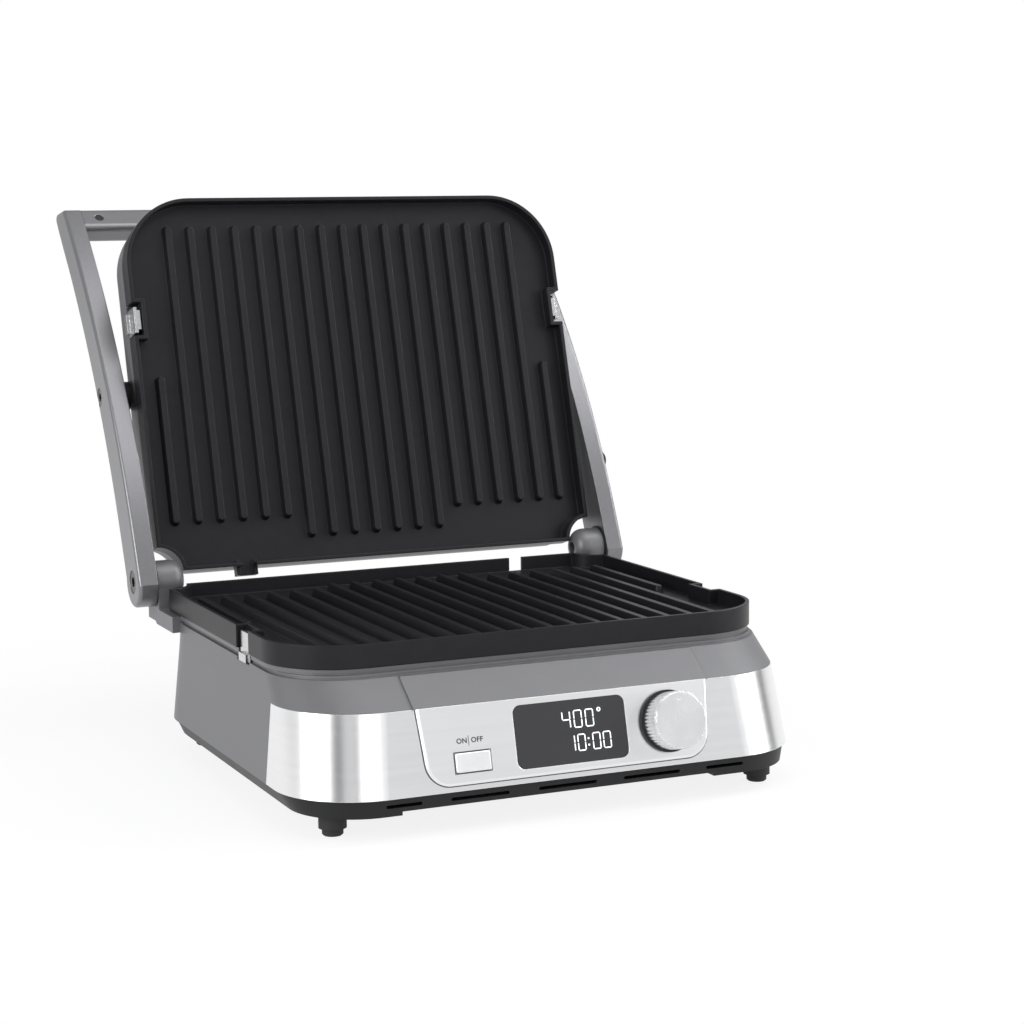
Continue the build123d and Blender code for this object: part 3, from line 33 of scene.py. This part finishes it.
# ------------------------------------------------------------------ camera
# Focal length in pixels, angles in degrees, offsets and distance in millimetres.
F_PX, AZ, EL, ROLL = 2294.37, -24.25, 7.65, -0.62
TX, TY, DIST = -34.95, 6.08, 1337.81
LOOK_AT = Vector((0, 0, 150))
SENSOR, IMAGE_PX, FAR_CLIP = 36.0, 1024, 50


def new_object(name, data):
    ob = bpy.data.objects.new(name, data)
    bpy.context.collection.objects.link(ob)
    return ob


def turned(right, up, out, place):
    """Matrix with these three axes at a place in metres."""
    return Matrix.Translation(place) @ Matrix((right, up, out)).transposed().to_4x4()


def make_camera():
    az, el, ro = map(math.radians, (AZ, EL, ROLL))
    fwd = Vector((-math.sin(az) * math.cos(el), math.cos(az) * math.cos(el), -math.sin(el)))
    right = Vector((math.cos(az), math.sin(az), 0))
    up = right.cross(fwd)
    right, up = (math.cos(ro) * right + math.sin(ro) * up,
                 -math.sin(ro) * right + math.cos(ro) * up)
    pos = LOOK_AT - TX * right - TY * up - DIST * fwd
    data = bpy.data.cameras.new("cam")
    data.sensor_width = SENSOR
    data.lens = F_PX * SENSOR / IMAGE_PX
    data.clip_end = FAR_CLIP
    cam = new_object("cam", data)
    cam.matrix_world = turned(right, up, -fwd, pos * MM)
    bpy.context.scene.camera = cam


make_camera()


# ------------------------------------------------------------------ materials
def new_mat(name):
    m = bpy.data.materials.new(name)
    m.use_nodes = True
    return m, m.node_tree, m.node_tree.nodes["Principled BSDF"]


def node(nt, kind, **vals):
    """New node; a value goes to the input of that name, or else to the attribute."""
    n = nt.nodes.new(kind)
    for k, v in vals.items():
        if k in n.inputs:
            n.inputs[k].default_value = v
        else:
            setattr(n, k, v)
    return n


def calc(nt, operation, *terms):
    """Output of a math node; each term is a number or another node's output."""
    n = node(nt, "ShaderNodeMath", operation=operation)
    for socket, term in zip(n.inputs, terms):
        if isinstance(term, (int, float)):
            socket.default_value = term
        else:
            nt.links.new(term, socket)
    return n.outputs[0]


def coords(nt, scale=(1, 1, 1)):
    tc = node(nt, "ShaderNodeTexCoord")
    mp = node(nt, "ShaderNodeMapping")
    mp.inputs["Scale"].default_value = scale
    nt.links.new(tc.outputs["Object"], mp.inputs["Vector"])
    return mp.outputs["Vector"]


def noise(nt, stretch=(1, 1, 1), **vals):
    n = node(nt, "ShaderNodeTexNoise", **vals)
    nt.links.new(coords(nt, stretch), n.inputs["Vector"])
    return n.outputs["Fac"]


def ramp(nt, fac, stops):
    r = node(nt, "ShaderNodeValToRGB")
    els = r.color_ramp.elements
    for e, (p, c) in zip(els, stops):
        e.position = p
        e.color = (*c, 1)
    nt.links.new(fac, r.inputs["Fac"])
    return r.outputs["Color"]


def mottle(nt, scale, low, high):
    """Grey that drifts between two values over the whole face."""
    n = node(nt, "ShaderNodeTexNoise", Scale=scale)
    return ramp(nt, n.outputs["Fac"], [(0.0, (low,) * 3), (1.0, (high,) * 3)])


def bump(nt, bsdf, height, strength, dist, bevel):
    b = node(nt, "ShaderNodeBump", Strength=strength, Distance=dist)
    nt.links.new(height, b.inputs["Height"])
    if bevel:
        bv = node(nt, "ShaderNodeBevel", samples=6)
        bv.inputs["Radius"].default_value = bevel
        nt.links.new(bv.outputs["Normal"], b.inputs["Normal"])
    nt.links.new(b.outputs["Normal"], bsdf.inputs["Normal"])


BROAD_SCALE = 7.0
FINE_SHARE, BROAD_SHARE = 0.6, 0.4
STOP_LOW, STOP_HIGH = 0.3, 0.7
LEAST_ROUGH = 0.02


def surface(name, col, rough, metal=0.0, var=0.12, scale=60, grain=900, gstr=0.15, gdist=0.0002,
            stretch=(1, 1, 1), rvar=0.08, bevel=0.0, spec=0.5, coat=0.0, coat_rough=0.2):
    """Base colour and roughness from two noises, a fine grain as bump, softened edges.

    var and rvar are how far colour and roughness move, scale is the finer noise, and grain,
    gstr and gdist are the bump. gdist and bevel are in metres.
    """
    m, nt, b = new_mat(name)
    fine = noise(nt, stretch, Scale=scale, Detail=5.0, Roughness=0.6)
    broad = noise(nt, Scale=BROAD_SCALE, Detail=2.0)
    mix = calc(nt, "MULTIPLY_ADD", fine, FINE_SHARE, calc(nt, "MULTIPLY", broad, BROAD_SHARE))
    lo = tuple(c * (1 - var) for c in col)
    hi = tuple(min(1, c * (1 + var)) for c in col)
    nt.links.new(ramp(nt, mix, [(STOP_LOW, lo), (STOP_HIGH, hi)]), b.inputs["Base Color"])
    mr = node(nt, "ShaderNodeMapRange")
    mr.inputs["To Min"].default_value = max(LEAST_ROUGH, rough - rvar)
    mr.inputs["To Max"].default_value = rough + rvar
    nt.links.new(mix, mr.inputs["Value"])
    nt.links.new(mr.outputs["Result"], b.inputs["Roughness"])
    for key, value in (("Metallic", metal), ("Specular IOR Level", spec),
                       ("Coat Weight", coat), ("Coat Roughness", coat_rough)):
        b.inputs[key].default_value = value
    grains = noise(nt, stretch, Scale=grain, Detail=3.0, Roughness=0.7)
    bump(nt, b, grains, gstr, gdist, bevel)
    return m


# Brushing: the noise is 40 times finer across the strokes than along them.
BRUSHED_ALONG_X = (1, 40, 40)
BRUSHED_LEVEL = (1, 1, 40)

GREY = surface("grey_shell", (0.155, 0.155, 0.163), 0.42, 0.35, var=0.05, gstr=0.06, bevel=0.0006)
STEEL = surface("brushed_band", (0.86, 0.86, 0.865), 0.24, 1.0, var=0.025, scale=10, grain=30,
                gstr=0.04, gdist=0.0001, stretch=BRUSHED_LEVEL, rvar=0.03, bevel=0.0004)
# The lid top takes a darker copy of the brushed steel, base 0.60 against 0.86 on band and panel:
# painted shade that tones down the bright reflection it catches from above.
LID_SHADED_STEEL = surface("brushed_lid_shaded", (0.60, 0.60, 0.605), 0.33, 1.0, var=0.06, scale=12, grain=34,
                   gstr=0.08, gdist=0.0001, stretch=BRUSHED_ALONG_X, rvar=0.05, bevel=0.0004)
PANEL = surface("brushed_panel", (0.86, 0.86, 0.865), 0.30, 1.0, var=0.02, scale=10, grain=30,
                gstr=0.03, gdist=0.0001, stretch=BRUSHED_LEVEL, rvar=0.03, bevel=0.0005)
CAST = surface("nonstick_cast", (0.010, 0.010, 0.012), 0.40, 0.0, var=0.20, scale=140, grain=1600,
               gstr=0.18, gdist=0.0002, rvar=0.05, bevel=0.0010, spec=0.24)
BLACK = surface("black_moulding", (0.010, 0.010, 0.011), 0.45, 0.0, var=0.15, gstr=0.15,
                bevel=0.0005, spec=0.3)
ARM = surface("arm_paint", (0.21, 0.21, 0.22), 0.32, 0.8, var=0.06, scale=500, grain=1400,
              gstr=0.06, bevel=0.0008, rvar=0.05)
GLASS = surface("smoked_window", (0.030, 0.030, 0.033), 0.16, 0.0, var=0.06, gstr=0.01, rvar=0.03,
                coat=0.2, coat_rough=0.08, bevel=0.0003)
BRIGHT = surface("bright_spring_steel", (0.62, 0.62, 0.62), 0.2, 1.0, var=0.1, grain=200,
                 stretch=(1, 1, 12), gstr=0.08, bevel=0.0003)
SCREW = surface("blackened_screw", (0.05, 0.05, 0.052), 0.3, 0.8, var=0.15, bevel=0.0003)
FOIL = surface("aluminised_sheet", (0.58, 0.58, 0.58), 0.35, 1.0, var=0.1, stretch=(1, 30, 1),
               bevel=0.0004)
SHEATH = surface("oxidised_sheath", (0.12, 0.11, 0.105), 0.4, 0.9, var=0.25)
CERAMIC = surface("steatite", (0.72, 0.69, 0.62), 0.6, 0.0, var=0.08)
BOARD = surface("circuit_board", (0.02, 0.11, 0.05), 0.35, 0.0, var=0.2, scale=90)
RUBBER = surface("soft_rubber", (0.02, 0.02, 0.02), 0.75, 0.0, var=0.2, gstr=0.3)
KNOB = surface("satin_knob", (0.84, 0.84, 0.85), 0.26, 1.0, var=0.06, grain=300, gstr=0.05,
               bevel=0.0004)
KEY = surface("silver_key", (0.82, 0.82, 0.83), 0.35, 0.6, var=0.05, grain=600, gstr=0.05,
              bevel=0.0004)
# Dark ink for the printed legends, also used as painted shade for the gap round the power key.
INK_AND_GAP_SHADE = surface("dark_ink_and_gap_shade", (0.03, 0.03, 0.032), 0.5, 0.0, var=0.1)


def glow(name, col, power, dimmest=0.94, rough=0.4):
    """Lit surface whose colour drops a little, down to dimmest, from place to place."""
    m, nt, b = new_mat(name)
    stops = [(STOP_LOW, tuple(v * dimmest for v in col)), (STOP_HIGH, col)]
    c = ramp(nt, noise(nt, Scale=400.0), stops)
    nt.links.new(c, b.inputs["Base Color"])
    nt.links.new(c, b.inputs["Emission Color"])
    b.inputs["Emission Strength"].default_value = power
    b.inputs["Roughness"].default_value = rough
    return m


DIGIT = glow("lit_digit", (0.92, 0.95, 1.0), 0.75)

MATS = {
    "base_housing": GREY, "lid_housing": GREY, "front_band": STEEL, "lid_top_panel": LID_SHADED_STEEL,
    "control_panel": PANEL, "display_window": GLASS, "display_module": BLACK,
    "control_board": BOARD, "board_screws": BRIGHT, "encoder": BLACK, "power_switch": BLACK,
    "power_button": KEY, "knob_cap": KNOB, "knob_ring": BLACK, "base_cover": BLACK,
    "rubber_feet": RUBBER, "cover_screws": SCREW, "drip_tray": BLACK, "inlet_bush": RUBBER,
    "power_board": BOARD, "terminal_block": CERAMIC, "arm_left": ARM, "arm_right": ARM,
    "hinge_screws": SCREW, "pivot_screws": SCREW, "hinge_washers": BLACK, "handle_bar": ARM,
    "handle_screws": SCREW, "release_lever": BLACK, "pivot_lugs": BLACK,
}
for half in ("lower", "upper"):
    MATS.update({half + "_plate": CAST, half + "_reflector": FOIL, half + "_heater": SHEATH,
                 half + "_heater_clamps": CERAMIC, half + "_thermostat": CERAMIC,
                 half + "_thermal_fuse": BRIGHT, half + "_clip_left": BRIGHT,
                 half + "_clip_right": BRIGHT})
for name, ob in nodes.items():
    mat = MATS[name]
    if not ob.material_slots:
        ob.data.materials.append(mat)
    for s in ob.material_slots:
        s.material = mat

# ------------------------------------------------------------------ panel frame, in millimetres
# The sloping face of the panel goes from FACE_LOW to FACE_HIGH, each (y, z), and its front
# stands PROUD of that line. PU, PV and PN point along it, up it and out of it.
FACE_LOW, FACE_HIGH = (-159.6, 21.3), (-149.0, 64.4)
FACE_RUN, FACE_RISE = 10.6, 43.1
SLOPE = math.atan(FACE_RUN / FACE_RISE)
PN = Vector((0, -math.cos(SLOPE), math.sin(SLOPE)))
PV = Vector((0, math.sin(SLOPE), math.cos(SLOPE)))
PU = Vector((1, 0, 0))
P0 = Vector((0, (FACE_LOW[0] + FACE_HIGH[0]) / 2, (FACE_LOW[1] + FACE_HIGH[1]) / 2))
PROUD = 1.8

# How far marks stand out of the panel front, and their thickness in metres.
ON_GLASS, ON_METAL, LETTERS_OUT = -0.15, 0.0, 0.03
MARK_THICK = 0.00006


def on_panel(x, z, out):
    """World point on the panel face for x and a height above ground, in metres."""
    v = (z - P0.z) / math.cos(SLOPE)
    return (P0 + PU * x + PV * v + PN * (PROUD + out)) * MM


def mesh_piece(name, bm, mat, body):
    me = bpy.data.meshes.new(name)
    bm.normal_update()
    bm.to_mesh(me)
    bm.free()
    ob = new_object(name, me)
    me.materials.append(mat)
    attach(ob, body)


def prism(bm, pts):
    """Closed prism of mark thickness from a ring of points."""
    low = [bm.verts.new(p) for p in pts]
    top = [bm.verts.new(p + PN * MARK_THICK) for p in pts]
    n = len(pts)
    bm.faces.new(list(reversed(low)))
    bm.faces.new(top)
    for i in range(n):
        bm.faces.new((low[i], low[(i + 1) % n], top[(i + 1) % n], top[i]))


def box_mark(bm, x0, z0, x1, z1, out):
    prism(bm, [on_panel(x, z, out) for x, z in ((x0, z0), (x0, z1), (x1, z1), (x1, z0))])


# ------------------------------------------------------------------ display digits
SEGS = {"0": "abcdef", "1": "bc", "4": "fgbc"}
SEG_GAP = 0.14
COLON_HALF, COLON_RISE, COLON_PITCH = 0.45, (0.3, 0.7), 0.42
RING_SIDES = 32


def segment(ax, az, bx, bz, t):
    """Corners of one bar with pointed ends, level or upright, t wide."""
    level, half = az == bz, t / 2
    a, b = (ax + SEG_GAP, bx - SEG_GAP) if level else (az + SEG_GAP, bz - SEG_GAP)
    ring = ((a, 0), (a + half, half), (b - half, half), (b, 0), (b - half, -half),
            (a + half, -half))
    return [(u, az + v) if level else (ax - v, u) for u, v in ring]


def digit(bm, ch, x0, z0, w, h, t):
    """Seven-segment figure; x0, z0 is its lower left corner in millimetres."""
    place = {"a": (0, h, w, h), "b": (w, h / 2, w, h), "c": (w, 0, w, h / 2), "d": (0, 0, w, 0),
             "e": (0, 0, 0, h / 2), "f": (0, h / 2, 0, h), "g": (0, h / 2, w, h / 2)}
    for s in SEGS[ch]:
        ring = [on_panel(x0 + u, z0 + v, ON_GLASS) for u, v in segment(*place[s], t)]
        prism(bm, list(reversed(ring)))


def figures(name, text, x0, z0, w, h, pitch, t):
    bm = bmesh.new()
    x = x0
    for ch in text:
        if ch == ":":
            for rise in COLON_RISE:
                z = z0 + h * rise
                box_mark(bm, x - COLON_HALF, z - COLON_HALF, x + COLON_HALF, z + COLON_HALF,
                         ON_GLASS)
            x += pitch * COLON_PITCH
        else:
            digit(bm, ch, x, z0, w, h, t)
            x += pitch
    mesh_piece(name, bm, DIGIT, "base")


def ring_mark(name, x, z, r0, r1, mat, body, out):
    """Flat ring between two radii."""
    bm = bmesh.new()
    turns = [i * 2 * math.pi / RING_SIDES for i in range(RING_SIDES)]
    rings = [[on_panel(x + r * math.cos(a), z + r * math.sin(a), out) for a in turns]
             for r in (r0, r1)]
    va, vb = ([bm.verts.new(p) for p in ring] for ring in rings)
    vc, vd = ([bm.verts.new(p + PN * MARK_THICK) for p in ring] for ring in rings)
    for i in range(RING_SIDES):
        j = (i + 1) % RING_SIDES
        bm.faces.new((va[i], va[j], vb[j], vb[i]))
        bm.faces.new((vc[i], vd[i], vd[j], vc[j]))
        bm.faces.new((va[i], vc[i], vc[j], va[j]))
        bm.faces.new((vb[i], vb[j], vd[j], vd[i]))
    mesh_piece(name, bm, mat, body)


figures("digits_heat", "400", x0=-3.2, z0=46.6, w=4.4, h=8.6, pitch=6.8, t=0.6)
figures("digits_time", "10:00", x0=-1.6, z0=34.6, w=4.2, h=8.2, pitch=6.2, t=0.6)
ring_mark("degree_mark", x=18.4, z=54.6, r0=0.55, r1=1.15, mat=DIGIT, body="base",
          out=ON_GLASS)

# ------------------------------------------------------------------ marks round the power key
LEGEND_Z, LEGEND_SIZE = 46.2, 3.7
LETTER_DEPTH, LETTER_SWELL, LETTER_SPACE = 0.00004, 0.00009, 1.05


def bars(name, rects, mat, body, out):
    bm = bmesh.new()
    for rect in rects:
        box_mark(bm, *rect, out)
    mesh_piece(name, bm, mat, body)


def word(name, text, x, z, size):
    cu = bpy.data.curves.new(name, "FONT")
    cu.body = text
    cu.size = size * MM
    cu.extrude = LETTER_DEPTH
    cu.offset = LETTER_SWELL
    cu.align_x = "CENTER"
    cu.align_y = "CENTER"
    cu.space_character = LETTER_SPACE
    ob = new_object(name, cu)
    ob.matrix_world = turned(PU, PV, PN, on_panel(x, z, LETTERS_OUT))
    cu.materials.append(INK_AND_GAP_SHADE)
    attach(ob, "base")


def gap_shade_frame(name, x, z, w, h, t, mat, out):
    """Outline with lines t wide around w by h, centred on x, z; drawn dark, it is painted shade
    standing for a gap.
    """
    x0, x1, z0, z1 = x - w / 2, x + w / 2, z - h / 2, z + h / 2
    bars(name, [(x0 - t, z0 - t, x1 + t, z0), (x0 - t, z1, x1 + t, z1 + t),
                (x0 - t, z0, x0, z1), (x1, z0, x1 + t, z1)],
         mat, "base", out)


word("legend_on", "ON", x=-61.6, z=LEGEND_Z, size=LEGEND_SIZE)
word("legend_off", "OFF", x=-53.0, z=LEGEND_Z, size=LEGEND_SIZE)
bars("legend_bar", [(-57.95, 43.6, -57.65, 48.8)], INK_AND_GAP_SHADE, "base", ON_METAL)
# Dark outline round the power key: painted shade standing for the gap between key and panel, not
# print.
gap_shade_frame("key_gap_painted_shade", x=-56.5, z=35.4, w=20.5, h=10.5, t=0.35, mat=INK_AND_GAP_SHADE, out=ON_METAL)

# ------------------------------------------------------------------ stage and light, in metres
WHITE = (1, 1, 1, 1)
FLOOR_HALF, FLOOR_DROP = 6.0, 0.0003
FADE_NEAR, FADE_FAR = 0.20, 0.60
FADE_LEAST, FADE_MOST = 0.86, 1.0
SKY, SKY_POWER, SKY_GLOSSY_SHARE = (0.86, 0.87, 0.90, 1), 0.55, 0.45


def mixed(nt, share, first, second, target):
    """Two shaders mixed into a target input."""
    mix = node(nt, "ShaderNodeMixShader")
    nt.links.new(share, mix.inputs["Fac"])
    nt.links.new(first.outputs[0], mix.inputs[1])
    nt.links.new(second.outputs[0], mix.inputs[2])
    nt.links.new(mix.outputs[0], target)


def rectangle(name, w, h):
    me = bpy.data.meshes.new(name)
    me.from_pydata([(-w, -h, 0), (w, -h, 0), (w, h, 0), (-w, h, 0)], [], [(0, 1, 2, 3)])
    return me, new_object(name, me)


def floor_plane():
    """Floor that shades itself near the grill and goes over to plain white further out."""
    me, ob = rectangle("floor", FLOOR_HALF, FLOOR_HALF)
    ob.location.z = -FLOOR_DROP
    m, nt, b = new_mat("pale_floor")
    nt.nodes.remove(b)
    diff = node(nt, "ShaderNodeBsdfDiffuse")
    nt.links.new(mottle(nt, 2.0, 0.90, 0.93), diff.inputs["Color"])
    em = node(nt, "ShaderNodeEmission", Strength=1.0, Color=WHITE)
    lp = node(nt, "ShaderNodeLightPath").outputs
    seen = calc(nt, "MAXIMUM", lp["Is Camera Ray"], lp["Is Glossy Ray"])
    seen = calc(nt, "MAXIMUM", seen, lp["Is Transmission Ray"])
    dist = node(nt, "ShaderNodeVectorMath", operation="LENGTH")
    nt.links.new(coords(nt), dist.inputs[0])
    fade = node(nt, "ShaderNodeMapRange", interpolation_type="SMOOTHSTEP")
    for k, v in (("From Min", FADE_NEAR), ("From Max", FADE_FAR),
                 ("To Min", FADE_LEAST), ("To Max", FADE_MOST)):
        fade.inputs[k].default_value = v
    nt.links.new(dist.outputs["Value"], fade.inputs["Value"])
    white_share = calc(nt, "MULTIPLY", seen, fade.outputs["Result"])
    mixed(nt, white_share, diff, em, nt.nodes["Material Output"].inputs["Surface"])
    me.materials.append(m)


floor_plane()


def world_light():
    """Pale sky for light, plain white where the camera sees it."""
    w = bpy.data.worlds.new("studio")
    bpy.context.scene.world = w
    w.use_nodes = True
    nt = w.node_tree
    sky = nt.nodes["Background"]
    sky.inputs["Color"].default_value = SKY
    sky.inputs["Strength"].default_value = SKY_POWER
    backdrop = node(nt, "ShaderNodeBackground", Strength=1.0, Color=WHITE)
    lp = node(nt, "ShaderNodeLightPath").outputs
    seen = calc(nt, "MAXIMUM", lp["Is Camera Ray"], lp["Is Transmission Ray"])
    share = calc(nt, "MULTIPLY_ADD", lp["Is Glossy Ray"], SKY_GLOSSY_SHARE, seen)
    mixed(nt, share, sky, backdrop, nt.nodes["World Output"].inputs["Surface"])


world_light()


def aim(ob, loc, target):
    ob.location = loc
    ob.rotation_euler = (Vector(target) - Vector(loc)).to_track_quat("-Z", "Y").to_euler()


def area(name, loc, target, size, power):
    li = bpy.data.lights.new(name, "AREA")
    li.shape = "RECTANGLE"
    li.size, li.size_y = size
    li.energy = power
    aim(new_object(name, li), loc, target)


# Name, place, aimed at, size, power in watts.
for lamp in (
    ("key_top", (0.2, -0.5, 1.7), (0, 0, 0.1), (1.6, 1.2), 11),
    ("fill_left", (-1.7, -0.5, 0.7), (0, 0, 0.1), (0.9, 1.2), 18),
    ("fill_right", (1.6, -1.1, 0.6), (0, 0, 0.1), (0.8, 1.1), 9),
    ("edge_right", (1.25, -0.15, 1.0), (0, 0.1, 0.2), (0.10, 1.2), 9),
    ("front_low", (-0.2, -2.2, 0.5), (0, 0, 0.08), (1.0, 0.8), 3),
):
    area(*lamp)


def card(name, loc, target, size):
    """Dark card for reflections; the camera, diffuse light and shadows leave it out."""
    me, ob = rectangle(name, size[0] / 2, size[1] / 2)
    aim(ob, loc, target)
    m, nt, b = new_mat(name)
    nt.links.new(mottle(nt, 4.0, 0.05, 0.08), b.inputs["Base Color"])
    me.materials.append(m)
    ob.visible_camera = False
    ob.visible_diffuse = False
    ob.visible_shadow = False


# Name, place, aimed at, size.
for dark in (
    ("card_a", (-1.05, -1.05, 0.3), (0, 0, 0.1), (0.30, 1.6)),
    ("card_b", (-0.62, -1.55, 0.3), (0, 0, 0.1), (0.12, 1.6)),
    ("card_c", (1.5, -0.25, 0.3), (0, 0, 0.1), (0.35, 1.6)),
):
    card(*dark)

bpy.context.scene.view_settings.view_transform = "Standard"
